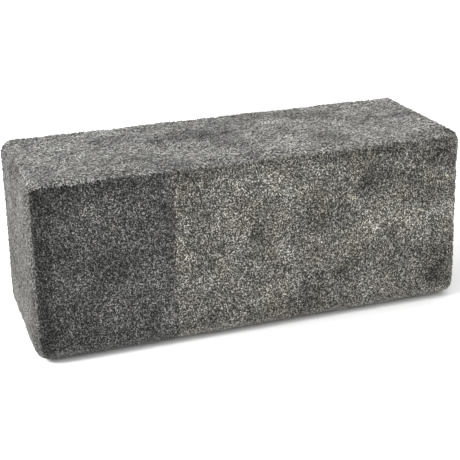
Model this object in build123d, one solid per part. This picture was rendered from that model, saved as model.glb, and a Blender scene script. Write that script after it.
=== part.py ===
"""Shearling bench: a padded box bench in shorn sheepskin, on low plastic feet.

A glued and screwed carcass of plywood and pine is padded with foam. Sheepskin panels,
sewn edge to edge, are pulled over it and stapled under the base. A thin cloth closes the
underside, and six feet are screwed through it into the base rails.

Millimetres. +Z is up, X runs along the bench, and the long front face looks towards -Y.
The origin is on the floor, under the middle of the bench.
"""

import os
from math import hypot

from build123d import *

# ---- overall size, measured over the wool and down to the floor
LENGTH = 1100.0
DEPTH = 395.0
HEIGHT = 450.0

# ---- sheepskin cover
PILE = 14.0  # hide and shorn wool together
EDGE_RADIUS = 28.0  # round of the wool at every edge
GROUND_GAP = 6.0  # from the floor to the wool
WOOL_LIP = 34.0  # wool that goes under the base, from the side face
HIDE = 2.0  # bare hide, where the wool is shaved off
TURN_IN = 34.0  # shaved margin that is stapled, past the wool lip
FRONT_SEAM = -211.0  # X of the seam in the front
REAR_SEAM = 170.0  # X of the seam in the rear
TOP_SEAM = 22.0  # X of the seam in the top

# ---- foam
SIDE_FOAM = 15.0
SEAT_FOAM = 40.0

# ---- carcass
BOARD = 12.0  # plywood sides
SEAT_BOARD = 18.0
POST = 44.0
BASE_RAIL_WIDTH = 70.0
BASE_RAIL_THICKNESS = 22.0
SEAT_RAIL_HEIGHT = 44.0
SEAT_RAIL_THICKNESS = 22.0
RIB = 18.0
RIB_NOTCH_GAP = 0.5  # round the seat rails, where the rib is notched
RIB_HOLE_RADIUS = 50.0  # the round hole that lightens the rib
WOOD_CORNER = 1.5  # eased long edges of the pine

# ---- fasteners
SCREW_RADIUS = 2.0
SCREW_HEAD_RADIUS = 4.0
SCREW_LENGTH = 40.0
SCREW_TIP = 5.0
SCREW_RECESS_WIDTH = 1.2  # cross recess in the head
SCREW_RECESS_DEPTH = 1.6
SCREW_RECESS_SHARE = 1.1  # length of the recess, as a share of the head's radius
SCREW_FIT = 0.1  # clearance round a screw in the wood
SCREW_SINK = 0.6  # head below the surface
SCREWS_UP_A_POST = 3
BOARD_SCREW_MARGIN = 40.0  # from a board's lower and upper edge to the first screw
RIB_SCREW_MARGIN = 12.0  # from the front and rear base rails to the screws into the rib
STAPLE_CROWN = 10.0
STAPLE_WIRE = 1.2
STAPLE_THICKNESS = 0.8
STAPLE_LEG = 8.0
STAPLE_PITCH = 85.0
STAPLE_TO_FOOT = 2.0
COVER_STAPLE_SHARE = 0.75  # how far across the shaved margin the cover is stapled

# ---- underside
CLOTH = 0.6
CLOTH_LAP = 26.0  # cloth over the hide margin
CLOTH_STAPLE_MARGIN = 6.0  # from the cloth's edge to its staples
FOOT_RADIUS = 19.0
FOOT_TAPER = 2.5  # how much narrower the foot is at the floor
FOOT_ROUND = 1.5
FOOT_BORE_RADIUS = 2.4
FOOT_COUNTERBORE_RADIUS = 5.0
FOOT_COUNTERBORE_SHARE = 0.55  # of the foot's height
FOOT_SCREW_LENGTH = 25.0
FOOT_SCREW_HEAD = 2.6
FOOT_SCREW_HEAD_ROUND = 1.2
FOOT_SCREW_HEAD_GAP = 0.8  # round the head, inside the counterbore
FOOT_SCREW_POINT = 0.2  # radius at the end of the tip

# ---- levels, from the floor up
BASE_Z = GROUND_GAP + PILE  # underside of the carcass
RAIL_TOP_Z = BASE_Z + BASE_RAIL_THICKNESS
SEAT_TOP_Z = HEIGHT - PILE - SEAT_FOAM  # top of the seat board
SEAT_UNDER_Z = SEAT_TOP_Z - SEAT_BOARD
CLOTH_TOP_Z = BASE_Z - HIDE
CLOTH_UNDER_Z = CLOTH_TOP_Z - CLOTH

# ---- half widths, from the middle out
HALF_X = LENGTH / 2
HALF_Y = DEPTH / 2
FORM_X = HALF_X - PILE  # outside of the foam
FORM_Y = HALF_Y - PILE
BOX_X = FORM_X - SIDE_FOAM  # outside of the carcass
BOX_Y = FORM_Y - SIDE_FOAM
IN_X = BOX_X - BOARD  # inside of the plywood
IN_Y = BOX_Y - BOARD
POST_X = IN_X - POST / 2  # middle of a post
POST_Y = IN_Y - POST / 2
RAIL_X = IN_X - BASE_RAIL_WIDTH / 2  # middle of a base rail
RAIL_Y = IN_Y - BASE_RAIL_WIDTH / 2

FORM_RADIUS = min(EDGE_RADIUS - PILE, SIDE_FOAM)
SIDES = (("left", -1), ("right", 1))
FACES = (("front", -1), ("rear", 1))


def block(x0, x1, y0, y1, z0, z1):
    """A box between two corners."""
    size = Box(abs(x1 - x0), abs(y1 - y0), abs(z1 - z0))
    return Pos((x0 + x1) / 2, (y0 + y1) / 2, (z0 + z1) / 2) * size


def eased(shape, radius=WOOD_CORNER):
    """The same piece with the four edges along its length rounded."""
    box = shape.bounding_box().size
    longest = max((box.X, Axis.X), (box.Y, Axis.Y), (box.Z, Axis.Z), key=lambda side: side[0])[1]
    return fillet(shape.edges().filter_by(longest), radius)


def solids_of(shape):
    """The solids of a shape, as one compound if there are several."""
    parts = list(shape.solids())
    return parts[0] if len(parts) == 1 else Compound(children=parts)


def cut(shape, tools):
    """shape less each of the tools that reaches it."""
    box = shape.bounding_box()
    near = [t for t in tools if boxes_meet(box, t.bounding_box())]
    return shape - near if near else shape


def boxes_meet(a, b):
    """True if two bounding boxes share some space."""
    return (
        a.min.X < b.max.X and b.min.X < a.max.X
        and a.min.Y < b.max.Y and b.min.Y < a.max.Y
        and a.min.Z < b.max.Z and b.min.Z < a.max.Z
    )


# ---------------------------------------------------------------- fasteners


def screw(length, head_radius=SCREW_HEAD_RADIUS, grow=0.0):
    """A countersunk wood screw: head at z = 0, point down. grow makes the hole for it."""
    head = head_radius - SCREW_RADIUS
    profile = Polyline(
        (0, 0),
        (head_radius + grow, 0),
        (SCREW_RADIUS + grow, -head),
        (SCREW_RADIUS + grow, -(length - SCREW_TIP)),
        (0, -length - grow),
        close=True,
    )
    body = revolve(Plane.XZ * make_face(profile), Axis.Z)
    if grow:
        return body
    slot = Box(head_radius * SCREW_RECESS_SHARE, SCREW_RECESS_WIDTH, 2 * SCREW_RECESS_DEPTH)
    return body - (slot + Rot(0, 0, 90) * slot)


def pan_screw(length, grow=0.0):
    """A round-headed screw for a foot: underside of the head at z = 0, point down."""
    head = FOOT_COUNTERBORE_RADIUS - FOOT_SCREW_HEAD_GAP
    shank = Pos(0, 0, -(length - SCREW_TIP) / 2) * Cylinder(SCREW_RADIUS + grow, length - SCREW_TIP)
    tip = Pos(0, 0, -length + SCREW_TIP / 2) * Cone(FOOT_SCREW_POINT, SCREW_RADIUS + grow, SCREW_TIP)
    if grow:
        return shank + tip
    dome = fillet(Cylinder(head, FOOT_SCREW_HEAD).edges().sort_by(Axis.Z)[-1], FOOT_SCREW_HEAD_ROUND)
    slot = Pos(0, 0, FOOT_SCREW_HEAD / 2) * Box(head * SCREW_RECESS_SHARE, SCREW_RECESS_WIDTH, 2 * SCREW_RECESS_DEPTH)
    head_piece = Pos(0, 0, FOOT_SCREW_HEAD / 2) * (dome - (slot + Rot(0, 0, 90) * slot))
    return shank + tip + head_piece


def staple(crown_z, x, y, turned):
    """A wire staple driven upwards, with its crown's lower face at crown_z."""
    crown = block(-STAPLE_CROWN / 2, STAPLE_CROWN / 2, -STAPLE_WIRE / 2, STAPLE_WIRE / 2, 0, STAPLE_THICKNESS)
    legs = [
        block(
            side * STAPLE_CROWN / 2 - max(side, 0) * STAPLE_THICKNESS,
            side * STAPLE_CROWN / 2 - min(side, 0) * STAPLE_THICKNESS,
            -STAPLE_WIRE / 2,
            STAPLE_WIRE / 2,
            STAPLE_THICKNESS,
            STAPLE_THICKNESS + STAPLE_LEG,
        )
        for side in (-1, 1)
    ]
    return Pos(x, y, crown_z) * Rot(0, 0, 90 if turned else 0) * (crown + legs)


def spread(first, last, count):
    """count places, evenly spaced from first to last."""
    return [first + (last - first) * i / (count - 1) for i in range(count)]


def staple_row(crown_z, inset, phase, keep_clear):
    """Staples all round the base, inset from the wool's side faces, missing the feet."""
    row = []
    for half, across, turned in ((HALF_X, HALF_Y, False), (HALF_Y, HALF_X, True)):
        reach = half - inset - STAPLE_CROWN
        count = max(2, round(2 * reach / STAPLE_PITCH))
        step = 2 * reach / count
        for i in range(count):
            along = -reach + step * (i + phase)
            for side in (-1, 1):
                away = side * (across - inset)
                x, y = (away, along) if turned else (along, away)
                if all(hypot(x - fx, y - fy) > keep_clear for fx, fy in FOOT_PLACES):
                    row.append(staple(crown_z, x, y, turned))
    return row


FOOT_PLACES = [(x * RAIL_X, y * RAIL_Y) for x in (-1, 0, 1) for y in (-1, 1)]
FOOT_CLEAR = FOOT_RADIUS + STAPLE_CROWN / 2 + STAPLE_TO_FOOT
COVER_STAPLE_INSET = WOOL_LIP + COVER_STAPLE_SHARE * TURN_IN
CLOTH_STAPLE_INSET = WOOL_LIP + TURN_IN - CLOTH_LAP + CLOTH_STAPLE_MARGIN

# Heights of the screws that go through a side board into a post or the rib.
SCREW_LEVELS = spread(RAIL_TOP_Z + BOARD_SCREW_MARGIN, SEAT_UNDER_Z - BOARD_SCREW_MARGIN, SCREWS_UP_A_POST)


def face_screws(side):
    """Places and turns of the screws in the front (-1) or rear (+1) board."""
    turn = Rot(side * -90, 0, 0)
    y = side * (BOX_Y - SCREW_SINK)
    return [(Pos(x, y, z) * turn, SCREW_LENGTH) for x in (-POST_X, 0, POST_X) for z in SCREW_LEVELS]


def end_screws(side):
    """Places and turns of the screws in the left (-1) or right (+1) board."""
    turn = Rot(0, side * 90, 0)
    x = side * (BOX_X - SCREW_SINK)
    # A quarter step down, so that they miss the screws that come in from the long boards.
    drop = (SCREW_LEVELS[1] - SCREW_LEVELS[0]) / 4
    return [(Pos(x, y, z - drop) * turn, SCREW_LENGTH) for y in (-POST_Y, POST_Y) for z in SCREW_LEVELS]


def seat_screws():
    """Screws down through the seat board into the posts, the rib and the seat rails."""
    z = SEAT_TOP_Z - SCREW_SINK
    corners = [(x * POST_X, y * POST_Y) for x in (-1, 1) for y in (-1, 1)]
    middle = [(0, y * POST_Y) for y in (-1, 0, 1)]
    rails = [(x * POST_X / 2, y * (IN_Y - SEAT_RAIL_THICKNESS / 2)) for x in (-1, 1) for y in (-1, 1)]
    return [(Pos(x, y, z), SCREW_LENGTH) for x, y in corners + middle + rails]


def base_screws():
    """Screws up through the base rails into the posts and the rib."""
    z = BASE_Z + SCREW_SINK
    turn = Rot(180, 0, 0)
    posts = [(x * (POST_X + POST / 4), y * (POST_Y + POST / 4)) for x in (-1, 1) for y in (-1, 1)]
    rib = [(0, y * (IN_Y - BASE_RAIL_WIDTH - RIB_SCREW_MARGIN)) for y in (-1, 1)]
    return [(Pos(x, y, z) * turn, SCREW_LENGTH) for x, y in posts + rib]


SCREW_GROUPS = {
    "front_board_screws": face_screws(-1),
    "rear_board_screws": face_screws(1),
    "left_board_screws": end_screws(-1),
    "right_board_screws": end_screws(1),
    "seat_board_screws": seat_screws(),
    "base_rail_screws": base_screws(),
}


# ---------------------------------------------------------------- carcass


def posts():
    """Four pine posts, standing on the base rails in the corners."""
    made = {}
    for face, y in FACES:
        for side, x in SIDES:
            stick = block(
                x * IN_X, x * (IN_X - POST), y * IN_Y, y * (IN_Y - POST), RAIL_TOP_Z, SEAT_UNDER_Z
            )
            made[f"corner_post_{face}_{side}"] = eased(stick)
    return made


def base_rails():
    """Flat pine rails round the base, and one across the middle under the rib."""
    made = {}
    inner_y = IN_Y - BASE_RAIL_WIDTH
    for face, y in FACES:
        made[f"{face}_base_rail"] = eased(block(-IN_X, IN_X, y * IN_Y, y * inner_y, BASE_Z, RAIL_TOP_Z))
    for side, x in SIDES:
        made[f"{side}_base_rail"] = eased(
            block(x * IN_X, x * (IN_X - BASE_RAIL_WIDTH), -inner_y, inner_y, BASE_Z, RAIL_TOP_Z)
        )
    half = BASE_RAIL_WIDTH / 2
    made["centre_base_rail"] = eased(block(-half, half, -inner_y, inner_y, BASE_Z, RAIL_TOP_Z))
    return made


def seat_rails():
    """Upright pine rails under the seat board, between the posts."""
    made = {}
    low = SEAT_UNDER_Z - SEAT_RAIL_HEIGHT
    for face, y in FACES:
        rail = block(-(IN_X - POST), IN_X - POST, y * IN_Y, y * (IN_Y - SEAT_RAIL_THICKNESS), low, SEAT_UNDER_Z)
        made[f"{face}_seat_rail"] = eased(rail)
    for side, x in SIDES:
        rail = block(x * IN_X, x * (IN_X - SEAT_RAIL_THICKNESS), -(IN_Y - POST), IN_Y - POST, low, SEAT_UNDER_Z)
        made[f"{side}_seat_rail"] = eased(rail)
    return made


def rib():
    """Plywood rib across the middle, with a round hole and with notches for the seat rails."""
    sheet = block(-RIB / 2, RIB / 2, -IN_Y, IN_Y, RAIL_TOP_Z, SEAT_UNDER_Z)
    notch_z = SEAT_UNDER_Z - SEAT_RAIL_HEIGHT - RIB_NOTCH_GAP
    notch_y = IN_Y - SEAT_RAIL_THICKNESS - RIB_NOTCH_GAP
    notches = [block(-RIB, RIB, y * notch_y, y * (IN_Y + 1), notch_z, SEAT_UNDER_Z + 1) for _, y in FACES]
    hole = Pos(0, 0, (RAIL_TOP_Z + SEAT_UNDER_Z) / 2) * Rot(0, 90, 0) * Cylinder(RIB_HOLE_RADIUS, 2 * RIB)
    return sheet - notches - hole


def boards():
    """Plywood sides and seat. The ends fit between the long boards, and the seat lies on top."""
    made = {}
    for face, y in FACES:
        made[f"{face}_board"] = block(-BOX_X, BOX_X, y * BOX_Y, y * IN_Y, BASE_Z, SEAT_UNDER_Z)
    for side, x in SIDES:
        made[f"{side}_end_board"] = block(x * BOX_X, x * IN_X, -IN_Y, IN_Y, BASE_Z, SEAT_UNDER_Z)
    made["seat_board"] = block(-BOX_X, BOX_X, -BOX_Y, BOX_Y, SEAT_UNDER_Z, SEAT_TOP_Z)
    return made


# ---------------------------------------------------------------- padding and cover


def rounded_form(half_x, half_y, z0, z1, radius):
    """A box with all of its edges rounded."""
    return fillet(block(-half_x, half_x, -half_y, half_y, z0, z1).edges(), radius)


def foam(form):
    """Foam slabs cut out of the padded form: the seat first, then the long sides, then the ends."""
    low = BASE_Z - 1
    made = {"seat_foam": form & block(-HALF_X, HALF_X, -HALF_Y, HALF_Y, SEAT_TOP_Z, HEIGHT)}
    for face, y in FACES:
        made[f"{face}_foam"] = form & block(-HALF_X, HALF_X, y * BOX_Y, y * HALF_Y, low, SEAT_TOP_Z)
    for side, x in SIDES:
        made[f"{side}_end_foam"] = form & block(x * BOX_X, x * HALF_X, -BOX_Y, BOX_Y, low, SEAT_TOP_Z)
    return made


def cover(form):
    """Sheepskin panels, mitred at the edges where they are sewn, with their margins under the base."""
    wool = rounded_form(HALF_X, HALF_Y, GROUND_GAP, HEIGHT, EDGE_RADIUS) - form
    mouth_x, mouth_y = HALF_X - WOOL_LIP, HALF_Y - WOOL_LIP
    wool -= block(-mouth_x, mouth_x, -mouth_y, mouth_y, 0, BASE_Z + PILE)
    margin_x, margin_y = mouth_x - TURN_IN, mouth_y - TURN_IN
    margin = block(-mouth_x, mouth_x, -mouth_y, mouth_y, CLOTH_TOP_Z, BASE_Z)
    margin -= block(-margin_x, margin_x, -margin_y, margin_y, 0, HEIGHT)
    skin = wool + margin

    roof = Pos(0, 0, HEIGHT) * Rectangle(2 * HALF_X, 2 * HALF_Y)
    top_zone = extrude(roof, amount=2 * EDGE_RADIUS, dir=(0, 0, -1), taper=45)
    top = skin & top_zone
    band = skin - top_zone

    # Seen from above, each long side takes a trapezium that ends on the corner mitres.
    zones = {}
    for face, y in FACES:
        corners = [(-HALF_X, y * HALF_Y), (HALF_X, y * HALF_Y), (HALF_X - HALF_Y, 0), (HALF_Y - HALF_X, 0)]
        zones[face] = extrude(make_face(Polyline(*corners, close=True)), amount=HEIGHT, dir=(0, 0, 1))

    def left_of(x):
        return block(-LENGTH, x, -DEPTH, DEPTH, -1, 2 * HEIGHT)

    def right_of(x):
        return block(x, LENGTH, -DEPTH, DEPTH, -1, 2 * HEIGHT)

    made = {}
    for name, piece, seam in (
        ("top", top, TOP_SEAM),
        ("front", band & zones["front"], FRONT_SEAM),
        ("rear", band & zones["rear"], REAR_SEAM),
    ):
        made[f"{name}_skin_left"] = piece & left_of(seam)
        made[f"{name}_skin_right"] = piece & right_of(seam)
    ends = band - zones["front"] - zones["rear"]
    made["left_end_skin"] = ends & left_of(0)
    made["right_end_skin"] = ends & right_of(0)
    return made


def base_cloth():
    """Thin black cloth that closes the underside, over the hide margins."""
    inset = WOOL_LIP + TURN_IN - CLOTH_LAP
    x, y = HALF_X - inset, HALF_Y - inset
    return block(-x, x, -y, y, CLOTH_UNDER_Z, CLOTH_TOP_Z)


def foot():
    """A plastic foot on the floor, with a stepped bore for its screw."""
    body = Cone(FOOT_RADIUS - FOOT_TAPER, FOOT_RADIUS, CLOTH_UNDER_Z, align=(Align.CENTER, Align.CENTER, Align.MIN))
    body = fillet(body.edges().filter_by(GeomType.CIRCLE).sort_by(Axis.Z)[0], FOOT_ROUND)
    bore = Cylinder(FOOT_BORE_RADIUS, 3 * CLOTH_UNDER_Z)
    counterbore_depth = FOOT_COUNTERBORE_SHARE * CLOTH_UNDER_Z
    counterbore = Cylinder(FOOT_COUNTERBORE_RADIUS, 2 * counterbore_depth)
    return body - bore - counterbore


# ---------------------------------------------------------------- assembly


def build():
    """Every node of the bench, by name."""
    form = rounded_form(FORM_X, FORM_Y, BASE_Z, HEIGHT - PILE, FORM_RADIUS)
    wood = {**boards(), **posts(), **base_rails(), **seat_rails(), "centre_rib": rib()}
    soft = {**foam(form), **cover(form), "base_cloth": base_cloth()}

    screw_holes = [
        place * screw(length, grow=SCREW_FIT) for group in SCREW_GROUPS.values() for place, length in group
    ]
    # A countersink stays open up to the face of the board.
    screw_holes += [
        place * Pos(0, 0, SCREW_SINK / 2) * Cylinder(SCREW_HEAD_RADIUS + SCREW_FIT, SCREW_SINK)
        for group in SCREW_GROUPS.values()
        for place, _ in group
    ]

    foot_shoulder = FOOT_COUNTERBORE_SHARE * CLOTH_UNDER_Z
    foot_spots = [Pos(x, y, foot_shoulder) * Rot(180, 0, 0) for x, y in FOOT_PLACES]
    foot_screws = [spot * pan_screw(FOOT_SCREW_LENGTH) for spot in foot_spots]
    foot_screw_holes = [spot * pan_screw(FOOT_SCREW_LENGTH, grow=SCREW_FIT) for spot in foot_spots]

    cover_staples = staple_row(CLOTH_TOP_Z, COVER_STAPLE_INSET, 0.5, FOOT_CLEAR)
    cloth_staples = staple_row(CLOTH_UNDER_Z - STAPLE_THICKNESS, CLOTH_STAPLE_INSET, 0.75, FOOT_CLEAR)

    wood_tools = screw_holes + foot_screw_holes + cover_staples + cloth_staples
    soft_tools = foot_screw_holes + cover_staples + cloth_staples
    nodes = {name: cut(piece, wood_tools) for name, piece in wood.items()}
    nodes.update({name: cut(piece, soft_tools) for name, piece in soft.items()})

    for name, group in SCREW_GROUPS.items():
        nodes[name] = Compound(children=[place * screw(length) for place, length in group])
    for (x, y), name in zip(FOOT_PLACES, [f"foot_{f}_{s}" for s in ("left", "centre", "right") for f, _ in FACES]):
        nodes[name] = Pos(x, y, 0) * foot()
    nodes["foot_screws"] = Compound(children=foot_screws)
    nodes["cover_staples"] = Compound(children=cover_staples)
    nodes["cloth_staples"] = Compound(children=cloth_staples)
    return nodes


os.makedirs("parts", exist_ok=True)
for node, shape in build().items():
    export_step(solids_of(shape), f"parts/{node}.step")
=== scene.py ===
import math

import bmesh
import bpy
import numpy as np
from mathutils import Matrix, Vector


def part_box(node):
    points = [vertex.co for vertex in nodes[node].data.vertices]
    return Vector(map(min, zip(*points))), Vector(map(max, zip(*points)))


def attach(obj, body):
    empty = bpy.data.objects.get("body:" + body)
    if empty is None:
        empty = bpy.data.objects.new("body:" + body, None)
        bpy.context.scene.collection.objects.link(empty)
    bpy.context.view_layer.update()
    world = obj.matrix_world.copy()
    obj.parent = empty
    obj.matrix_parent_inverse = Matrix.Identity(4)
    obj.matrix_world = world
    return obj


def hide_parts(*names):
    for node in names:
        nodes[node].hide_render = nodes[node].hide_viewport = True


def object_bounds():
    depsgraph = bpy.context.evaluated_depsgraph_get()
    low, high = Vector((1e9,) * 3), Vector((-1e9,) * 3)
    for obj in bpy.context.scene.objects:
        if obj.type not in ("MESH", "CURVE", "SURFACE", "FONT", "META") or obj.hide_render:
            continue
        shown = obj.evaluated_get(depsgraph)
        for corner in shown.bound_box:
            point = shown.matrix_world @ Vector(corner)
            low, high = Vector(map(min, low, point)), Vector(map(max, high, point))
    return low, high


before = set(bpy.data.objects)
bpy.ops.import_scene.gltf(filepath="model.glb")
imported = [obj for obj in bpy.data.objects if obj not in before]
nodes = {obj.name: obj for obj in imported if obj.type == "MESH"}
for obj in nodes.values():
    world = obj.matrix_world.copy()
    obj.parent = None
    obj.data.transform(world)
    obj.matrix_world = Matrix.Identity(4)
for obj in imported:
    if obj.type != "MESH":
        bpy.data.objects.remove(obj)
cad_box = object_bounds()

# ---------------------------------------------------------------- pine frame
# Planed pine, glued and screwed: flat rails round the base, four posts standing on them, and
# upright rails between the posts that carry the edge of the seat.


def new_material(name):
    """A material with its Principled shader, and the two ways of adding to it."""
    mat = bpy.data.materials.new(name)
    mat.use_nodes = True
    tree = mat.node_tree
    shader = tree.nodes["Principled BSDF"]

    def add(kind, **values):
        node = tree.nodes.new(kind)
        for key, value in values.items():
            if hasattr(node, key) and key not in node.inputs:
                setattr(node, key, value)
            else:
                node.inputs[key.replace("_", " ") if key not in node.inputs else key].default_value = value
        return node

    return mat, shader, add, tree.links.new


def ramp(add, stops):
    """A colour ramp from (place, colour) stops."""
    node = add("ShaderNodeValToRGB")
    band = node.color_ramp
    while len(band.elements) < len(stops):
        band.elements.new(0.5)
    for element, (place, colour) in zip(band.elements, stops):
        element.position = place
        element.color = (*colour, 1.0)
    return node


def pine(name, along):
    """Planed pine with its grain along one axis."""
    mat, shader, add, link = new_material(name)
    place = add("ShaderNodeTexCoord")
    stretch = add("ShaderNodeMapping")
    stretch.inputs["Scale"].default_value = [1.2 if axis == along else 22.0 for axis in "XYZ"]
    link(place.outputs["Object"], stretch.inputs["Vector"])
    rings = add("ShaderNodeTexNoise", Scale=6.0, Detail=3.0, Roughness=0.55, Distortion=0.6)
    link(stretch.outputs["Vector"], rings.inputs["Vector"])
    colours = ramp(add, [(0.30, (0.58, 0.36, 0.17)), (0.50, (0.76, 0.55, 0.31)), (0.72, (0.83, 0.64, 0.40))])
    link(rings.outputs["Fac"], colours.inputs["Fac"])
    link(colours.outputs["Color"], shader.inputs["Base Color"])
    fibre = add("ShaderNodeTexNoise", Scale=60.0, Detail=2.0)
    link(stretch.outputs["Vector"], fibre.inputs["Vector"])
    bump = add("ShaderNodeBump", Strength=0.25, Distance=0.0004)
    link(fibre.outputs["Fac"], bump.inputs["Height"])
    link(bump.outputs["Normal"], shader.inputs["Normal"])
    shader.inputs["Roughness"].default_value = 0.62
    return mat


def dress(names, mat):
    """Gives CAD nodes a finish."""
    for name in names:
        mesh = nodes[name].data
        mesh.materials.clear()
        mesh.materials.append(mat)


pine_along = {axis: pine(f"planed pine {axis}", axis) for axis in "XYZ"}
dress(["front_base_rail", "rear_base_rail", "front_seat_rail", "rear_seat_rail"], pine_along["X"])
dress(["left_base_rail", "right_base_rail", "centre_base_rail"], pine_along["Y"])
dress(["left_seat_rail", "right_seat_rail"], pine_along["Y"])
dress([name for name in nodes if name.startswith("corner_post_")], pine_along["Z"])

# ---------------------------------------------------------------- plywood
# Birch plywood: the seat, the four sides and the rib across the middle. The veneers show as
# light and dark bands on every sawn edge, and as long pale grain on the faces.

VENEER = 0.0015  # thickness of one layer


def plywood(name, through, grain):
    """Birch plywood, with its thickness along one axis and its face grain along another."""
    mat, shader, add, link = new_material(name)
    place = add("ShaderNodeTexCoord")
    stretch = add("ShaderNodeMapping")
    stretch.inputs["Scale"].default_value = [1.5 if axis == grain else 14.0 for axis in "XYZ"]
    link(place.outputs["Object"], stretch.inputs["Vector"])
    figure = add("ShaderNodeTexNoise", Scale=4.0, Detail=4.0, Distortion=1.2)
    link(stretch.outputs["Vector"], figure.inputs["Vector"])
    face = ramp(add, [(0.3, (0.60, 0.45, 0.28)), (0.55, (0.74, 0.59, 0.40)), (0.8, (0.80, 0.67, 0.48))])
    link(figure.outputs["Fac"], face.inputs["Fac"])

    split = add("ShaderNodeSeparateXYZ")
    link(place.outputs["Object"], split.inputs["Vector"])
    count = add("ShaderNodeMath", operation="DIVIDE")
    link(split.outputs[through], count.inputs[0])
    count.inputs[1].default_value = 2 * VENEER
    turn = add("ShaderNodeMath", operation="FRACT")
    link(count.outputs[0], turn.inputs[0])
    edge = ramp(add, [
        (0.0, (0.42, 0.28, 0.16)),
        (0.46, (0.46, 0.31, 0.18)),
        (0.54, (0.78, 0.63, 0.44)),
        (1.0, (0.74, 0.58, 0.40)),
    ])
    link(turn.outputs[0], edge.inputs["Fac"])

    shape = add("ShaderNodeNewGeometry")
    facing = add("ShaderNodeSeparateXYZ")
    link(shape.outputs["True Normal"], facing.inputs["Vector"])
    flat = add("ShaderNodeMath", operation="ABSOLUTE")
    link(facing.outputs[through], flat.inputs[0])
    mix = add("ShaderNodeMix", data_type="RGBA")
    link(flat.outputs[0], mix.inputs["Factor"])
    link(edge.outputs["Color"], mix.inputs[6])
    link(face.outputs["Color"], mix.inputs[7])
    link(mix.outputs[2], shader.inputs["Base Color"])
    shader.inputs["Roughness"].default_value = 0.55
    return mat


dress(["seat_board"], plywood("birch plywood seat", "Z", "X"))
dress(["front_board", "rear_board"], plywood("birch plywood long sides", "Y", "X"))
end_ply = plywood("birch plywood ends", "X", "Y")
dress(["left_end_board", "right_end_board", "centre_rib"], end_ply)

# ---------------------------------------------------------------- screws
# Zinc-plated countersunk wood screws, in the boards, the seat and the base rails. The passivated
# zinc is a little uneven, so the shine and the tint drift from screw to screw.


def zinc():
    """Zinc plate, cloudy in its tint and its shine."""
    mat, shader, add, link = new_material("zinc-plated steel")
    place = add("ShaderNodeTexCoord")
    cloud = add("ShaderNodeTexNoise", Scale=220.0, Detail=3.0)
    link(place.outputs["Object"], cloud.inputs["Vector"])
    tint = ramp(add, [(0.35, (0.52, 0.53, 0.55)), (0.65, (0.70, 0.70, 0.68))])
    link(cloud.outputs["Fac"], tint.inputs["Fac"])
    link(tint.outputs["Color"], shader.inputs["Base Color"])
    dull = add("ShaderNodeMapRange")
    dull.inputs["To Min"].default_value = 0.28
    dull.inputs["To Max"].default_value = 0.48
    link(cloud.outputs["Fac"], dull.inputs["Value"])
    link(dull.outputs["Result"], shader.inputs["Roughness"])
    shader.inputs["Metallic"].default_value = 1.0
    return mat


zinc_plate = zinc()
dress([n for n in nodes if n.endswith("_screws")], zinc_plate)

# ---------------------------------------------------------------- foam
# Slabs of open-cell foam, glued to the plywood: a thick one on the seat and thin ones on the
# four sides. They dip slightly between their edges, and the cut cells show on every face.

SAG = 0.0006  # how far a face dips between its edges
FACE_SIZE = 0.05  # longest edge of the denser faces
RIM = 0.01  # a face's border, which doesn't dip


def noise(at, size, seed):
    """Smooth noise from -1 to 1 at an array of points, with lumps about as big as size."""
    p = at / size
    cell = np.floor(p).astype(np.int64)
    f = p - cell
    f = f * f * (3 - 2 * f)
    total = 0.0
    for dx in (0, 1):
        for dy in (0, 1):
            for dz in (0, 1):
                h = scatter(cell + (dx, dy, dz), seed)
                wx = f[:, 0] if dx else 1 - f[:, 0]
                wy = f[:, 1] if dy else 1 - f[:, 1]
                wz = f[:, 2] if dz else 1 - f[:, 2]
                total = total + h * wx * wy * wz
    return 2 * total - 1


def scatter(cell, seed):
    """A number from 0 to 1 for each whole-numbered cell, the same on every run."""
    h = (cell[:, 0] * 73856093) ^ (cell[:, 1] * 19349663) ^ (cell[:, 2] * 83492791) ^ (seed * 2654435)
    h = (h ^ (h >> 13)) * 1274126177
    h = (h ^ (h >> 16)) & 0xFFFFFF
    return h / float(0xFFFFFF)


def foam_finish():
    """Yellowed open-cell foam, with painted shade in the pit of each cut cell."""
    mat, shader, add, link = new_material("open-cell foam")
    place = add("ShaderNodeTexCoord")
    cells = add("ShaderNodeTexVoronoi", Scale=900.0)
    link(place.outputs["Object"], cells.inputs["Vector"])
    patch = add("ShaderNodeTexNoise", Scale=9.0, Detail=3.0)
    link(place.outputs["Object"], patch.inputs["Vector"])
    tint = ramp(add, [(0.3, (0.72, 0.62, 0.36)), (0.7, (0.84, 0.78, 0.56))])
    link(patch.outputs["Fac"], tint.inputs["Fac"])
    # painted shade, darkest at the middle of each cell
    pit_shade = ramp(add, [(0.05, (0.55, 0.52, 0.46)), (0.45, (1.0, 1.0, 1.0))])
    link(cells.outputs["Distance"], pit_shade.inputs["Fac"])
    mix = add("ShaderNodeMix", data_type="RGBA", blend_type="MULTIPLY")
    mix.inputs["Factor"].default_value = 1.0
    link(tint.outputs["Color"], mix.inputs[6])
    link(pit_shade.outputs["Color"], mix.inputs[7])
    link(mix.outputs[2], shader.inputs["Base Color"])
    bump = add("ShaderNodeBump", Strength=0.6, Distance=0.0008)
    link(cells.outputs["Distance"], bump.inputs["Height"])
    link(bump.outputs["Normal"], shader.inputs["Normal"])
    shader.inputs["Roughness"].default_value = 0.95
    return mat


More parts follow.
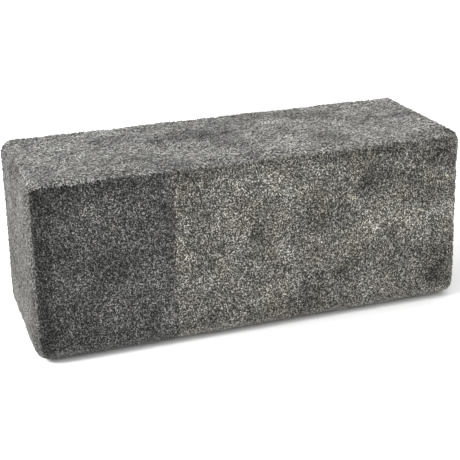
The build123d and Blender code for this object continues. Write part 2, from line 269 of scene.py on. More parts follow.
def foam_slab(name, mat):
    """The slab's cut shape with denser faces, so that it can dip a little between its edges."""
    mesh = nodes[name].data.copy()
    slab = bpy.data.objects.new(name + "_slab", mesh)
    bpy.context.scene.collection.objects.link(slab)
    bm = bmesh.new()
    bm.from_mesh(mesh)
    bmesh.ops.remove_doubles(bm, verts=bm.verts, dist=1e-5)
    bmesh.ops.dissolve_limit(bm, angle_limit=math.radians(1), verts=bm.verts, edges=bm.edges)
    bmesh.ops.triangulate(bm, faces=bm.faces)
    for _ in range(4):
        long_edges = [e for e in bm.edges if e.calc_length() > FACE_SIZE]
        if long_edges:
            bmesh.ops.subdivide_edges(bm, edges=long_edges, cuts=1)
            bmesh.ops.triangulate(bm, faces=bm.faces)
    bmesh.ops.recalc_face_normals(bm, faces=bm.faces)
    at = np.array([v.co for v in bm.verts])
    dip = noise(at, 0.07, 3)
    low, high = at.min(0), at.max(0)
    for vert, d, p in zip(bm.verts, dip, at):
        edge = min(min(p - low), min(high - p)) if min(high - low) > FACE_SIZE else 0
        vert.co += vert.normal * SAG * (min(d, 0) - 0.2 * (edge > RIM))
    bm.to_mesh(mesh)
    bm.free()
    mesh.materials.clear()
    mesh.materials.append(mat)
    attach(slab, "root")
    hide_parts(name)


open_cells = foam_finish()
for name in ("seat_foam", "front_foam", "rear_foam", "left_end_foam", "right_end_foam"):
    foam_slab(name, open_cells)

# ---------------------------------------------------------------- sheepskin
# Shorn sheepskin panels, sewn edge to edge into a cover. Each is a bare hide with a dense pile of
# short curly wool, stretched over the foam, turned under the base and stapled there.

WOOL_HEIGHT = 0.014  # hide and wool
EDGE_ROUND = 0.034
FORM_ROUND = 0.0139  # round of the flesh side, over the foam's edges
WOOL_UNDER = 0.034  # wool that is turned under the base
HIDE_MARGIN = 0.034  # bare hide past it
HIDE = 0.002
GRID = 0.003  # between the points of the wool surface
FLESH_GRID = 0.08  # between those of the flesh side
BEND_STEPS = (0.0, 0.004, 0.009, 0.016)  # closer rows where the flesh side bends

TUFT_RELIEF = 0.0026  # from the gaps between the tufts to their tops
SWELL = 0.0012  # slow rise and fall of the shorn surface
SHORN = 0.0014  # how far that surface lies inside the cover's full height
PARTING = 0.002  # extra depth along a sewn seam
PARTING_WIDTH = 0.004

LOCK_REACH = 0.0035  # the furthest that a lock stands past the shorn pile
LOCK_ROOT = 0.0042  # its root below the top of the pile
LOCK_SHARES = (0.55, 0.28, 0.22)  # of its length, from root to tip, which bending shortens
LOCK_TURNS = (0, 2.094, 4.189)  # the three corners of its section
LOCK_RISE = (0, 0.6, 0.6, 0.6, 0.9, 0.9, 0.9, 1.0)  # how far up the lock each of its points is
LOCK_FACES = (
    (0, 2, 1), (0, 3, 2), (0, 1, 3), (1, 2, 5), (1, 5, 4), (2, 3, 6), (2, 6, 5), (3, 1, 4), (3, 4, 6),
    (4, 5, 7), (5, 6, 7), (6, 4, 7),
)
ABOVE_FLOOR = 0.0008  # no lock hangs lower

HALF_X, HALF_Y, TOP = (float(c) for c in cad_box[1])
GAP = float(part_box("front_skin_left")[0][2])  # floor to wool
BASE = GAP + WOOL_HEIGHT
outer_low, outer_high = np.array((-HALF_X, -HALF_Y, GAP)), np.array((HALF_X, HALF_Y, TOP))
form_low, form_high = outer_low + WOOL_HEIGHT, outer_high - WOOL_HEIGHT
FRONT_SEAM = float(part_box("front_skin_left")[1][0])
REAR_SEAM = float(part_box("rear_skin_left")[1][0])
TOP_SEAM = float(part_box("top_skin_left")[1][0])


def rounded(at, box_low, box_high, radius):
    """Points on a box's faces, moved onto the same box with rounded edges, and their normals."""
    core = np.clip(at, box_low + radius, box_high - radius)
    out = at - core
    out /= np.linalg.norm(out, axis=1, keepdims=True)
    return core + radius * out, out


def place_on(side):
    """How (along, in from the side, level) becomes X, Y, Z on each side of the bench."""
    return {
        "front": lambda a, d, w: (a, -HALF_Y + d, w),
        "rear": lambda a, d, w: (a, HALF_Y - d, w),
        "left": lambda a, d, w: (-HALF_X + d, a, w),
        "right": lambda a, d, w: (HALF_X - d, a, w),
        "top": lambda a, d, w: (a, w, TOP - d),
    }[side]


def steps(start, end, size):
    """Even steps from start to end, each about as long as size."""
    return np.linspace(start, end, max(2, int(round(abs(end - start) / size)) + 1))


def side_path(side):
    """The section of a panel: rows of (in from the side, level, which surface)."""
    if side == "top":
        rows = [(0.0, w, "wool") for w in steps(-HALF_Y, HALF_Y, GRID)]
        inner = steps(HALF_Y - WOOL_HEIGHT, -HALF_Y + WOOL_HEIGHT, FLESH_GRID)
        form = [(WOOL_HEIGHT, w, "flesh") for w in bend_rows(inner)]
        return rows + form
    rows = [(0.0, w, "wool") for w in steps(TOP, GAP, GRID)]
    rows += [(d, GAP, "wool") for d in steps(0.0, WOOL_UNDER, GRID)[1:]]
    end = WOOL_UNDER + HIDE_MARGIN
    rows += [(WOOL_UNDER, BASE - HIDE, "flat"), (end, BASE - HIDE, "flat"), (end, BASE, "flat")]
    rows += [(WOOL_HEIGHT + step, BASE, "flesh") for step in BEND_STEPS[::-1]]
    rows += [(WOOL_HEIGHT, w, "flesh") for w in bend_rows(steps(BASE, TOP - WOOL_HEIGHT, FLESH_GRID))[1:]]
    return rows


def bend_rows(levels):
    """The same levels with a few more where the foam's edge is rounded."""
    first, last = levels[0], levels[-1]
    way = 1 if last > first else -1
    near = np.array(BEND_STEPS) * way
    clear = BEND_STEPS[-1] + 0.004
    between = [w for w in levels[1:-1] if clear < abs(w - first) and clear < abs(w - last)]
    return [*(first + near), *between, *(last - near[::-1])]


def tufts(at, nap):
    """0 in the gaps between the curly locks and 1 on top of them. Locks are longer along the nap."""
    way = np.array(nap, float)
    longer = 0.6 + 1.2 * np.linalg.norm(way) ** 2
    drawn = at - np.outer(at @ way, way) * (1 - 1 / longer) / (way @ way)
    bent = drawn + 0.0016 * np.stack([noise(at, 0.005, s) for s in (11, 12, 13)], 1)
    return np.clip(0.5 + 1.0 * noise(bent, 0.0034, 14), 0, 1)


def pile_height(at, seam_gap, nap):
    """How far the wool stands out at each point, in metres. seam_gap is the way to a sewn seam."""
    swell = noise(at, 0.09, 16) + 0.6 * noise(at, 0.035, 17) + 0.9 * noise(at, 0.015, 18)
    parting = np.exp(-((seam_gap / PARTING_WIDTH) ** 2))
    return TUFT_RELIEF * (tufts(at, nap) - 0.5) + SWELL * swell - SHORN - PARTING * parting


def give(mesh, name, values):
    """Stores one number for each point of a mesh, for the finishes to read."""
    mesh.attributes.new(name, "FLOAT", "POINT").data.foreach_set("value", values.astype(np.float32))


def build_panel(name, side, along0, along1, corner0, corner1, tone, nap):
    """One sheepskin panel as a closed mesh: wool outside, hide inside and at the margin."""
    place = place_on(side)
    path = side_path(side)
    depth = np.array([p[0] for p in path])
    level = np.array([p[1] for p in path])
    kind = [p[2] for p in path]
    count = int(round((along1 - along0) / GRID)) + 1
    u = np.linspace(0, 1, count)
    start = along0 + depth * corner0
    end = along1 - depth * corner1
    along = start[:, None] + (end - start)[:, None] * u[None, :]
    d = np.repeat(depth[:, None], count, 1)
    w = np.repeat(level[:, None], count, 1)
    at = np.stack([np.broadcast_to(c, along.shape).ravel() for c in place(along, d, w)], 1).astype(float)
    rows = len(path)
    row_kind = np.repeat(np.array(kind), count)
    wool = row_kind == "wool"
    flesh = row_kind == "flesh"
    gap0 = np.full(at.shape[0], 1.0) if corner0 else np.abs(along - along0).ravel()
    gap1 = np.full(at.shape[0], 1.0) if corner1 else np.abs(along1 - along).ravel()
    seam_gap = np.minimum(gap0, gap1)
    out = np.zeros_like(at)
    at[wool], out[wool] = rounded(at[wool], outer_low, outer_high, EDGE_ROUND)
    at[flesh], out[flesh] = rounded(at[flesh], form_low, form_high, FORM_ROUND)
    rise = pile_height(at[wool], seam_gap[wool], nap)
    at[wool] += out[wool] * rise[:, None]

    index = np.arange(rows * count).reshape(rows, count)
    quads = []
    for r in range(rows):
        nxt = (r + 1) % rows
        a, b, c, e = index[r, :-1], index[r, 1:], index[nxt, 1:], index[nxt, :-1]
        quads.append(np.stack([a, b, c, e], 1))
    quads = np.concatenate(quads)
    caps = [list(map(int, index[:, 0])), list(map(int, index[::-1, -1]))]
    loops = np.concatenate([quads.ravel(), *[np.array(c) for c in caps]])
    sizes = np.concatenate([np.full(len(quads), 4), [len(c) for c in caps]])
    mesh = bpy.data.meshes.new(name)
    mesh.vertices.add(len(at))
    mesh.vertices.foreach_set("co", at.astype(np.float32).ravel())
    mesh.loops.add(len(loops))
    mesh.loops.foreach_set("vertex_index", loops.astype(np.int32))
    mesh.polygons.add(len(sizes))
    mesh.polygons.foreach_set("loop_start", np.concatenate([[0], np.cumsum(sizes)[:-1]]).astype(np.int32))
    mesh.update(calc_edges=True)
    mesh.validate()
    # the cut edges of the pile are wool too, and the rest is hide
    is_wool = np.array([k == "wool" for k in kind])
    wool_row = is_wool | np.roll(is_wool, -1)
    slots = np.where(np.repeat(wool_row, count - 1), 0, 1)
    slots = np.concatenate([slots, [1, 1]])
    mesh.polygons.foreach_set("material_index", slots.astype(np.int32))
    mesh.polygons.foreach_set("use_smooth", np.concatenate([np.ones(len(quads), bool), [False, False]]))
    give(mesh, "depth", np.where(wool, tufts(at, nap), 0.5))
    give(mesh, "tone", tone(at))
    bm = bmesh.new()
    bm.from_mesh(mesh)
    bmesh.ops.recalc_face_normals(bm, faces=bm.faces)
    bm.to_mesh(mesh)
    bm.free()
    piece = bpy.data.objects.new(name, mesh)
    bpy.context.scene.collection.objects.link(piece)
    return piece


def strands(name, side, along0, along1, corner0, corner1, tone, nap, coat, seed):
    """The wool's own locks: short bent strands that taper at both ends, rooted all over one panel."""
    rng = np.random.default_rng(seed)
    place = place_on(side)
    spacing = coat["spacing"]
    if side == "top":
        runs = [("face", -HALF_Y, HALF_Y)]
    else:
        runs = [("face", GAP, TOP), ("under", 0.0, WOOL_UNDER)]
    # one root in each cell of a loose grid, on the face and under the base
    roots, gaps = [], []
    for run, w0, w1 in runs:
        na, nw = int((along1 - along0) / spacing), max(1, int((w1 - w0) / spacing))
        ia, iw = np.meshgrid(np.arange(na), np.arange(nw))
        a = along0 + (ia.ravel() + rng.random(na * nw)) * (along1 - along0) / na
        w = w0 + (iw.ravel() + rng.random(na * nw)) * (w1 - w0) / nw
        d = w if run == "under" else np.zeros_like(w)
        level = np.full_like(w, GAP) if run == "under" else w
        keep = (a > along0 + d * corner0) & (a < along1 - d * corner1)
        roots.append(np.stack([np.broadcast_to(c, a.shape) for c in place(a, d, level)], 1)[keep])
        g0 = np.full(a.shape, 1.0) if corner0 else a - along0
        g1 = np.full(a.shape, 1.0) if corner1 else along1 - a
        gaps.append(np.minimum(g0, g1)[keep])
    at = np.concatenate(roots)
    gap = np.concatenate(gaps)
    n = len(at)
    at, out = rounded(at, outer_low, outer_high, EDGE_ROUND)
    base = at + out * (pile_height(at, gap, nap) - LOCK_ROOT)[:, None]
    # each lock lies partly with the nap, partly in a slow swirl and partly its own way
    jitter = rng.normal(size=(n, 3))
    jitter -= out * (jitter * out).sum(1, keepdims=True)
    way = np.array(nap, float)
    sweep = way - out * (out @ way)[:, None]
    swirl = np.stack([noise(at, 0.05, 60 + k) for k in range(3)], 1)
    swirl -= out * (swirl * out).sum(1, keepdims=True)
    flow = (sweep + 0.6 * jitter + 0.6 * swirl) * coat["lean"]
    # from the root it rises, bends over and curls back, and no joint passes the shorn height
    length = rng.uniform(*coat["length"], n)
    reach = LOCK_REACH * rng.uniform(0.3, 1.0, n)
    heading = out + 0.5 * flow
    bend = 0.9 * flow + coat["curl"] * np.roll(jitter, 1, 0) - 0.35 * out
    joints = [base]
    for share in LOCK_SHARES:
        heading /= np.linalg.norm(heading, axis=1, keepdims=True)
        joint = joints[-1] + heading * (share * length)[:, None]
        proud = ((joint - at) * out).sum(1) - reach
        joints.append(joint - out * np.maximum(proud, 0)[:, None])
        heading = heading + bend
    # a ring of three points round each of the two joints in between
    across = np.cross(out + 0.5 * flow, np.roll(jitter, 2, 0) + 0.3)
    across /= np.linalg.norm(across, axis=1, keepdims=True)
    over = np.cross(out, across)
    wide = rng.uniform(*coat["wide"], n)[:, None]
    rings = [
        joint + wide * (math.cos(turn) * across + math.sin(turn) * over)
        for joint in joints[1:-1]
        for turn in LOCK_TURNS
    ]
    verts = np.stack([joints[0], *rings, joints[-1]], 1)
    verts[..., 2] = np.maximum(verts[..., 2], ABOVE_FLOOR)
    points = len(LOCK_RISE)
    faces = (np.array(LOCK_FACES)[None] + (np.arange(n) * points)[:, None, None]).reshape(-1, 3)
    mesh = bpy.data.meshes.new(name)
    mesh.vertices.add(n * points)
    mesh.vertices.foreach_set("co", verts.astype(np.float32).ravel())
    mesh.loops.add(faces.size)
    mesh.loops.foreach_set("vertex_index", faces.astype(np.int32).ravel())
    mesh.polygons.add(len(faces))
    mesh.polygons.foreach_set("loop_start", np.arange(0, faces.size, 3, dtype=np.int32))
    mesh.polygons.foreach_set("use_smooth", np.ones(len(faces), bool))
    mesh.update(calc_edges=True)
    # most locks are pale and the rest are dark, and those on top of a tuft are a little lighter and those in
    # its dips darker, as painted light and shade by the tuft's height
    pale = rng.random(n) < coat["pale"]
    grey = np.where(pale, rng.uniform(*coat["shades"], n), rng.uniform(0.0, 0.4, n))
    lock = np.clip(grey + coat["tuft_shade"] * (tufts(at, nap) - 0.5), 0, 1)
    give(mesh, "lock", np.repeat(lock, points))
    give(mesh, "rise", np.tile(np.array(LOCK_RISE), n))
    give(mesh, "tone", np.repeat(tone(at), points))
    piece = bpy.data.objects.new(name, mesh)
    bpy.context.scene.collection.objects.link(piece)
    return piece


def wool_colour(add, link, lightness, warm):
    """Undyed grey wool, from dark underwool to bleached tips, scaled by the panel's own tone."""
    tone = add("ShaderNodeAttribute", attribute_name="tone")
    colours = ramp(add, [
        (0.0, (0.012, 0.012, 0.012)),
        (0.35, (0.055, 0.054, 0.050)),
        (0.62, (0.16, 0.157, 0.147)),
        (0.86, (0.36, 0.355, 0.335)),
        (1.0, (0.62, 0.61, 0.58)),
    ])
    link(lightness, colours.inputs["Fac"])
    tint = ramp(add, [(0.0, (0.965, 0.985, 1.03)), (0.25, (1.0, 1.0, 1.0)), (1.0, (1.0, 0.955, 0.87))])
    place = add("ShaderNodeTexCoord")
    drift = add("ShaderNodeTexNoise", Scale=14.0, Detail=2.0)
    link(place.outputs["Object"], drift.inputs["Vector"])
    warmth = add("ShaderNodeMath", operation="MULTIPLY")
    link(drift.outputs["Fac"], warmth.inputs[0])
    warmth.inputs[1].default_value = 2 * warm
    link(warmth.outputs[0], tint.inputs["Fac"])
    tinted = add("ShaderNodeMix", data_type="RGBA", blend_type="MULTIPLY")
    tinted.inputs["Factor"].default_value = 1.0
    link(colours.outputs["Color"], tinted.inputs[6])
    link(tint.outputs["Color"], tinted.inputs[7])
    scaled = add("ShaderNodeVectorMath", operation="SCALE")
    link(tinted.outputs[2], scaled.inputs[0])
    link(tone.outputs["Fac"], scaled.inputs["Scale"])
    return scaled.outputs[0]


def set_wool(shader):
    """Matt, with a faint sheen."""
    shader.inputs["Roughness"].default_value = 0.9
    shader.inputs["Specular IOR Level"].default_value = 0.1
    shader.inputs["Sheen Weight"].default_value = 0.04
    shader.inputs["Sheen Roughness"].default_value = 0.5


def underwool(warm, coat):
    """The dense pile under the strands, as one surface, darkened with painted shade between the locks and in
    the dips between the tufts.
    """
    mat, shader, add, link = new_material("sheared wool pile")
    place = add("ShaderNodeTexCoord")
    depth = add("ShaderNodeAttribute", attribute_name="depth")
    speck = add("ShaderNodeTexNoise", Scale=300.0, Detail=2.0, Roughness=0.6)
    link(place.outputs["Object"], speck.inputs["Vector"])
    spread = add("ShaderNodeMapRange")
    spread.inputs["From Min"].default_value = 0.3
    spread.inputs["From Max"].default_value = 0.7
    link(speck.outputs["Fac"], spread.inputs["Value"])
    # painted shade: half of the pile's grey follows the tuft height, so the pile is darker in the dips
    # between tufts
    mix = add("ShaderNodeMix", data_type="FLOAT")
    mix.inputs["Factor"].default_value = 0.5
    link(spread.outputs["Result"], mix.inputs[2])
    link(depth.outputs["Fac"], mix.inputs[3])
    # painted shade: the gaps factor scales the whole range down, to darken the pile between the locks
    range_of_grey = add("ShaderNodeMapRange")
    range_of_grey.inputs["To Min"].default_value = coat["greys"][0] * coat["gaps"]
    range_of_grey.inputs["To Max"].default_value = coat["greys"][1] * coat["gaps"]
    link(mix.outputs[0], range_of_grey.inputs["Value"])
    link(wool_colour(add, link, range_of_grey.outputs["Result"], warm), shader.inputs["Base Color"])
    fuzz = add("ShaderNodeTexNoise", Scale=700.0, Detail=2.0)
    link(place.outputs["Object"], fuzz.inputs["Vector"])
    bump = add("ShaderNodeBump", Strength=0.7, Distance=0.0012)
    link(fuzz.outputs["Fac"], bump.inputs["Height"])
    link(bump.outputs["Normal"], shader.inputs["Normal"])
    set_wool(shader)
    return mat


def lockwool(warm, greys):
    """The strands that stand out of the pile: dark roots, partly darker wool and partly painted shade, and
    tips of every grey.
    """
    mat, shader, add, link = new_material("curly wool locks")
    lock = add("ShaderNodeAttribute", attribute_name="lock")
    rise = add("ShaderNodeAttribute", attribute_name="rise")
    # painted shade: each lock darkens towards its root inside the pile, over the root's own darker wool
    root_colour_and_shade = add("ShaderNodeMapRange")
    root_colour_and_shade.inputs["To Min"].default_value = 0.2
    root_colour_and_shade.inputs["To Max"].default_value = 1.0
    link(rise.outputs["Fac"], root_colour_and_shade.inputs["Value"])
    grey = add("ShaderNodeMapRange")
    grey.inputs["To Min"].default_value = greys[0]
    grey.inputs["To Max"].default_value = greys[1]
    link(lock.outputs["Fac"], grey.inputs["Value"])
    both = add("ShaderNodeMath", operation="MULTIPLY")
    link(root_colour_and_shade.outputs["Result"], both.inputs[0])
    link(grey.outputs["Result"], both.inputs[1])
    link(wool_colour(add, link, both.outputs[0], warm), shader.inputs["Base Color"])
    set_wool(shader)
    return mat


def hide_leather():
    """The flesh side: pale tanned suede, with a fine nap and faint blotches."""
    mat, shader, add, link = new_material("tanned hide")
    place = add("ShaderNodeTexCoord")
    blotch = add("ShaderNodeTexNoise", Scale=11.0, Detail=4.0)
    link(place.outputs["Object"], blotch.inputs["Vector"])
    colours = ramp(add, [(0.3, (0.42, 0.34, 0.24)), (0.7, (0.58, 0.50, 0.38))])
    link(blotch.outputs["Fac"], colours.inputs["Fac"])
    link(colours.outputs["Color"], shader.inputs["Base Color"])
    nap = add("ShaderNodeTexNoise", Scale=900.0, Detail=3.0)
    link(place.outputs["Object"], nap.inputs["Vector"])
    bump = add("ShaderNodeBump", Strength=0.4, Distance=0.0004)
    link(nap.outputs["Fac"], bump.inputs["Height"])
    link(bump.outputs["Normal"], shader.inputs["Normal"])
    shader.inputs["Roughness"].default_value = 0.92
    return mat


def blob(at, centre, radius, ragged=0.4):
    """1 inside a soft ragged patch and 0 outside it. A radius of 0 leaves that axis free."""
    total = 0.0
    for axis, (c, r) in enumerate(zip(centre, radius)):
        if r:
            total = total + ((at[:, axis] - c) / r) ** 2
    reach = np.sqrt(total) + ragged * noise(at, 0.03, 40) + 0.7 * ragged * noise(at, 0.012, 41)
    return np.clip(1.7 - 1.7 * reach, 0, 1) ** 0.8


def patched(at, tone, patches, height_axis, seed):
    """The fleece's own shades: a base tone, cloudy drift, and patches of (X, Y or Z, radii, change)."""
    total = 1 + 0.22 * noise(at, 0.07, seed) + 0.18 * noise(at, 0.028, seed + 1)
    total = total + 0.2 * noise(at, 0.011, seed + 2)
    for x, w, rx, rw, change in patches:
        centre, radius = [x, 0, 0], [rx, 0, 0]
        centre[height_axis], radius[height_axis] = w, rw
        total = total + change * blob(at, centre, radius)
    return tone * np.clip(total, 0.3, 2.0)


def edge_dark(at):
    """0 to 1 beside the top edge of the front and rear, where the bent pile opens to its roots: painted
    shade of the opened pile, over the roots' own darker wool.
    """
    return np.exp(-np.clip((TOP - at[:, 2] - 0.014) / 0.020, 0, 9) ** 2) * (TOP - at[:, 2] > 0.008)


def front_tone(at):
    """Both front skins. The left one is darker and cooler, and their tufts mix across the seam."""
    left_patches = [
        (-0.49, 0.41, 0.07, 0.04, -0.25), (-0.36, 0.29, 0.10, 0.04, 0.14), (-0.38, 0.17, 0.13, 0.02, 0.12),
        (-0.30, 0.24, 0.09, 0.03, -0.10), (-0.46, 0.24, 0.05, 0.03, -0.12), (-0.40, 0.05, 0.12, 0.03, -0.08),
        (-0.228, 0.27, 0.022, 0.10, -0.12),
    ]
    right_patches = [
        (-0.190, 0.23, 0.026, 0.10, 0.32), (0.00, 0.385, 0.07, 0.025, 0.12), (0.07, 0.36, 0.07, 0.02, 0.20),
        (-0.09, 0.30, 0.07, 0.03, 0.18), (0.02, 0.250, 0.05, 0.03, -0.16), (0.07, 0.20, 0.055, 0.025, 0.26),
        (0.05, 0.11, 0.05, 0.04, 0.15), (0.20, 0.21, 0.12, 0.03, 0.15), (0.40, 0.25, 0.19, 0.035, 0.38),
        (0.52, 0.24, 0.06, 0.03, 0.15), (0.32, 0.365, 0.07, 0.035, -0.28), (0.50, 0.39, 0.06, 0.04, -0.28),
        (0.53, 0.09, 0.08, 0.10, -0.28), (-0.17, 0.42, 0.08, 0.03, -0.30), (0.30, 0.42, 0.12, 0.02, -0.22),
        (-0.13, 0.35, 0.03, 0.04, -0.15), (0.00, 0.05, 0.25, 0.05, -0.18), (0.17, 0.09, 0.09, 0.05, -0.22),
        (0.40, 0.07, 0.12, 0.05, -0.12), (-0.10, 0.10, 0.06, 0.04, -0.12),
    ]
    # the left skin gets lighter away from the bench's corner, and beside the corner it is darker still, with
    # painted shade of the opened pile like that beside the top edge
    from_left = at[:, 0] + HALF_X
    left = patched(at, 1.2 + 1.2 * np.clip(from_left, 0, 0.4) ** 1.2, left_patches, 2, 42)
    corner = np.exp(-np.clip((from_left - 0.016) / 0.028, 0, 9) ** 2) * (from_left > 0.010)
    left *= 1 - 0.6 * corner
    right = patched(at, 2.42, right_patches, 2, 45)
    # the tufts of the two skins mix over a ragged line
    past = at[:, 0] - FRONT_SEAM + 0.008 * noise(at, 0.04, 38) + 0.007 * noise(at, 0.009, 39)
    share = np.clip(0.5 + past / 0.016, 0, 1)
    # painted shade beside the top edge, from edge_dark
    return (left + (right - left) * share) * (1 - 0.42 * edge_dark(at))


def top_left_tone(at):
    """A lighter fleece, with darker clouds along its middle."""
    patches = [
        (-0.13, 0.03, 0.14, 0.055, -0.36), (-0.03, 0.00, 0.05, 0.045, -0.22),
        (-0.32, 0.07, 0.07, 0.04, -0.22), (-0.20, -0.17, 0.07, 0.04, -0.20),
        (-0.42, 0.05, 0.08, 0.10, 0.12), (-0.09, -0.10, 0.05, 0.03, 0.15),
    ]
    return patched(at, 1.53, patches, 1, 48)


def top_right_tone(at):
    """A fleece a shade lighter, and darker towards the right end."""
    patches = [
        (0.08, 0.13, 0.10, 0.06, -0.30), (0.25, 0.09, 0.10, 0.06, -0.22), (0.42, 0.00, 0.09, 0.03, -0.32),
        (0.54, 0.00, 0.03, 0.25, -0.25), (0.10, -0.10, 0.10, 0.06, 0.18), (0.47, -0.12, 0.06, 0.05, 0.18),
        (0.30, -0.06, 0.03, 0.07, 0.18), (0.20, -0.09, 0.05, 0.04, -0.12), (0.52, -0.16, 0.07, 0.05, -0.28),
    ]
    return patched(at, 1.7, patches, 1, 51)


def end_tone(at):
    """Both ends, with one even fleece each."""
    return patched(at, 0.75, [(0, 0.43, 0, 0.02, -0.2)], 2, 54)


def rear_tone(at):
    """Both rear skins, in the greys of the front."""
    patches = [
        (-0.30, 0.30, 0.12, 0.06, 0.25), (0.10, 0.14, 0.20, 0.05, -0.25), (0.42, 0.30, 0.08, 0.08, -0.20),
    ]
    # painted shade beside the top edge, from edge_dark
    return patched(at, 1.2, patches, 2, 57) * (1 - 0.40 * edge_dark(at))


suede = hide_leather()

# How each kind of coat is grown. lean and curl say how far its locks lie over and bend. spacing,
# length and wide (half a lock's width) are in metres. pale is the share of pale locks, shades is
# their range of grey, and clump is how much a tuft's height changes it, as painted light on its
# top and painted shade in its dips. gaps darkens the pile between the locks with painted shade,
# greys is the range of both, and lots is how many times the panel is filled.
CURLY = {
    "lean": 0.35, "curl": 0.6, "spacing": 0.0049, "length": (0.0066, 0.0084), "wide": (0.0010, 0.0017),
    "pale": 0.82, "shades": (0.38, 0.80), "tuft_shade": 0.15, "gaps": 0.14, "greys": (0.0, 1.0), "lots": 3,
}
COMBED = {
    "lean": 1.3, "curl": 0.3, "spacing": 0.0056, "length": (0.0090, 0.0140), "wide": (0.0010, 0.0016),
    "pale": 0.95, "shades": (0.61, 0.88), "tuft_shade": 0.2, "gaps": 0.5, "greys": (0.3, 0.95), "lots": 2,
}
BRUSHED = {
    "lean": 0.9, "curl": 0.3, "spacing": 0.0056, "length": (0.0070, 0.0100), "wide": (0.0011, 0.0017),
    "pale": 0.99, "shades": (0.76, 0.90), "tuft_shade": 0.1, "gaps": 0.5, "greys": (0.45, 0.95), "lots": 2,
}
DOWN, FORWARD = (0, 0, -1), (0.6, -1, 0)

# node, side, its two ends, 1 for each end that goes round a corner, tone, nap, warmth, coat
PANELS = [
    ("front_skin_left", "front", -HALF_X, FRONT_SEAM, 1, 0, front_tone, DOWN, 0.15, CURLY),
    ("front_skin_right", "front", FRONT_SEAM, HALF_X, 0, 1, front_tone, DOWN, 0.6, CURLY),
    ("rear_skin_left", "rear", -HALF_X, REAR_SEAM, 1, 0, rear_tone, DOWN, 0.3, CURLY),
    ("rear_skin_right", "rear", REAR_SEAM, HALF_X, 0, 1, rear_tone, DOWN, 0.4, CURLY),
    ("left_end_skin", "left", -HALF_Y, HALF_Y, 1, 1, end_tone, DOWN, 0.25, BRUSHED),
    ("right_end_skin", "right", -HALF_Y, HALF_Y, 1, 1, end_tone, DOWN, 0.25, BRUSHED),
    ("top_skin_left", "top", -HALF_X, TOP_SEAM, 1, 0, top_left_tone, FORWARD, 0.15, COMBED),
    ("top_skin_right", "top", TOP_SEAM, HALF_X, 0, 1, top_right_tone, FORWARD, 0.2, COMBED),
]
for seed, (node, side, a0, a1, c0, c1, tone, nap, warm, coat) in enumerate(PANELS):
    panel = build_panel(node + "_wool", side, a0, a1, c0, c1, tone, nap)
    panel.data.materials.append(underwool(warm, coat))
    panel.data.materials.append(suede)
    wool = lockwool(warm, coat["greys"])
    locks = []
    for growth in range(1, coat["lots"] + 1):
        lot = strands(f"{node}_locks_{growth}", side, a0, a1, c0, c1, tone, nap, coat, 100 * growth + seed)
        lot.data.materials.append(wool)
        locks.append(lot)
    for piece in (panel, *locks):
        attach(piece, "root")
    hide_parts(node)

# ---------------------------------------------------------------- base cloth and staples
# A black non-woven cloth closes the underside. It is stapled through the hide margins, and it
# sags a little between the rails.


def cloth_finish():
    """Black non-woven cloth, with its pattern of pressed dots."""
    mat, shader, add, link = new_material("black non-woven cloth")
    place = add("ShaderNodeTexCoord")
    dots = add("ShaderNodeTexVoronoi", Scale=420.0)
    link(place.outputs["Object"], dots.inputs["Vector"])
    colours = ramp(add, [(0.1, (0.045, 0.045, 0.047)), (0.5, (0.018, 0.018, 0.019))])
    link(dots.outputs["Distance"], colours.inputs["Fac"])
    link(colours.outputs["Color"], shader.inputs["Base Color"])
    bump = add("ShaderNodeBump", Strength=0.5, Distance=0.0004)
    link(dots.outputs["Distance"], bump.inputs["Height"])
    link(bump.outputs["Normal"], shader.inputs["Normal"])
    shader.inputs["Roughness"].default_value = 0.85
    return mat


cloth_low, cloth_high = (np.array(c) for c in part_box("base_cloth"))
CLOTH_STEP = 0.008


def build_cloth():
    """The cloth as a thin closed sheet: flat where it is stapled, slack between the rails."""
    nx = int((cloth_high[0] - cloth_low[0]) / CLOTH_STEP)
    ny = int((cloth_high[1] - cloth_low[1]) / CLOTH_STEP)
    xs = np.linspace(cloth_low[0], cloth_high[0], nx)
    ys = np.linspace(cloth_low[1], cloth_high[1], ny)
    x, y = np.meshgrid(xs, ys)
    at = np.stack([x.ravel(), y.ravel(), np.zeros(x.size)], 1)
    inset = np.minimum(cloth_high[0] - np.abs(at[:, 0]), cloth_high[1] - np.abs(at[:, 1]))
    free = np.clip((inset - 0.075) / 0.05, 0, 1) * np.clip((np.abs(at[:, 0]) - 0.04) / 0.05, 0, 1)
    sag = 0.0022 * free + 0.0004 * np.abs(noise(at, 0.03, 70)) * np.clip((inset - 0.02) / 0.03, 0, 1)
    sag *= np.clip(free * 4, 0, 1)
    under = at + np.array((0, 0, cloth_low[2])) - sag[:, None] * (0, 0, 1)
    over = under + np.array((0, 0, cloth_high[2] - cloth_low[2]))
    mesh = bpy.data.meshes.new("base_cloth_sheet")
    index = np.arange(nx * ny).reshape(ny, nx)
    lower = np.stack([index[:-1, :-1], index[1:, :-1], index[1:, 1:], index[:-1, 1:]], -1).reshape(-1, 4)
    upper = lower[:, ::-1] + nx * ny
    rim = np.concatenate([index[0, :], index[1:, -1], index[-1, -2::-1], index[-2:0:-1, 0]])
    nxt = np.roll(rim, -1)
    walls = np.stack([rim, nxt, nxt + nx * ny, rim + nx * ny], 1)
    faces = np.concatenate([lower, upper, walls])
    mesh.from_pydata(np.concatenate([under, over]).tolist(), [], faces.tolist())
    for face in mesh.polygons:
        face.use_smooth = True
    bm = bmesh.new()
    bm.from_mesh(mesh)
    bmesh.ops.recalc_face_normals(bm, faces=bm.faces)
    bm.to_mesh(mesh)
    bm.free()
    sheet = bpy.data.objects.new("base_cloth_sheet", mesh)
    bpy.context.scene.collection.objects.link(sheet)
    return sheet


cloth = build_cloth()
cloth.data.materials.append(cloth_finish())
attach(cloth, "root")
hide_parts("base_cloth")
dress(["cover_staples", "cloth_staples"], zinc_plate)

# ---------------------------------------------------------------- feet
# Six low feet of moulded black plastic, each held by a pan-head screw through its middle. The
# mould leaves a fine grain on them, and the rim that meets the floor is scuffed.


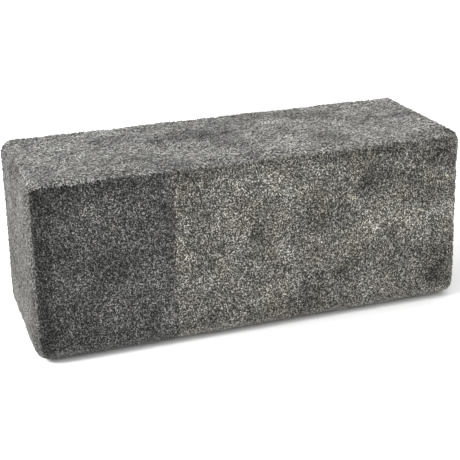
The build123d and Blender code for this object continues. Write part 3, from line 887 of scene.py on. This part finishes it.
def foot_finish():
    """Black plastic with a moulded grain, greyer at the rim."""
    mat, shader, add, link = new_material("moulded black plastic")
    place = add("ShaderNodeTexCoord")
    grain = add("ShaderNodeTexNoise", Scale=1400.0, Detail=2.0)
    link(place.outputs["Object"], grain.inputs["Vector"])
    bump = add("ShaderNodeBump", Strength=0.25, Distance=0.0002)
    link(grain.outputs["Fac"], bump.inputs["Height"])
    link(bump.outputs["Normal"], shader.inputs["Normal"])
    split = add("ShaderNodeSeparateXYZ")
    link(place.outputs["Object"], split.inputs["Vector"])
    worn = add("ShaderNodeMapRange")
    worn.inputs["From Min"].default_value = 0.0
    worn.inputs["From Max"].default_value = 0.003
    worn.inputs["To Min"].default_value = 1.0
    worn.inputs["To Max"].default_value = 0.0
    link(split.outputs["Z"], worn.inputs["Value"])
    colours = ramp(add, [(0.0, (0.018, 0.018, 0.018)), (1.0, (0.05, 0.05, 0.048))])
    link(worn.outputs["Result"], colours.inputs["Fac"])
    link(colours.outputs["Color"], shader.inputs["Base Color"])
    shader.inputs["Roughness"].default_value = 0.48
    return mat


black_plastic = foot_finish()
dress([n for n in nodes if n.startswith("foot_") and n != "foot_screws"], black_plastic)

# ---------------------------------------------------------------- room
# A pale floor, soft light from the upper left, and the camera standing to the left of the front.


def lamp(name, at, aim, width, power):
    """A square white area light, turned to face a point."""
    data = bpy.data.lights.new(name, "AREA")
    data.shape = "SQUARE"
    data.size = width
    data.energy = power
    light = bpy.data.objects.new(name, data)
    light.location = at
    way = np.array(aim, float) - np.array(at, float)
    light.rotation_mode = "QUATERNION"
    light.rotation_quaternion = Vector(way).to_track_quat("-Z", "Y")
    bpy.context.scene.collection.objects.link(light)


floor_mesh = bpy.data.meshes.new("floor")
floor_mesh.from_pydata([(-15, -15, 0), (15, -15, 0), (15, 15, 0), (-15, 15, 0)], [], [(0, 1, 2, 3)])
floor = bpy.data.objects.new("floor", floor_mesh)
bpy.context.scene.collection.objects.link(floor)
floor_mat, floor_shader, _, _ = new_material("pale floor")
floor_shader.inputs["Base Color"].default_value = (0.9, 0.9, 0.9, 1)
floor_shader.inputs["Roughness"].default_value = 0.9
floor_mesh.materials.append(floor_mat)

world = bpy.data.worlds.new("studio")
bpy.context.scene.world = world
world.use_nodes = True
world.node_tree.nodes["Background"].inputs["Color"].default_value = (1, 1, 1, 1)
world.node_tree.nodes["Background"].inputs["Strength"].default_value = 1.3
lamp("key", (-2.9, -0.2, 2.1), (0, 0, 0.25), 1.2, 150)

camera_data = bpy.data.cameras.new("camera")
camera_data.sensor_width = 36
camera_data.lens = 87.5
camera_data.shift_y = -0.15
camera = bpy.data.objects.new("camera", camera_data)
camera.location = (-0.873, -2.551, 1.249)
camera.rotation_euler = [math.radians(a) for a in (72.14, 1.15, -19.24)]
bpy.context.scene.collection.objects.link(camera)
bpy.context.scene.camera = camera
bpy.context.scene.view_settings.view_transform = "Standard"
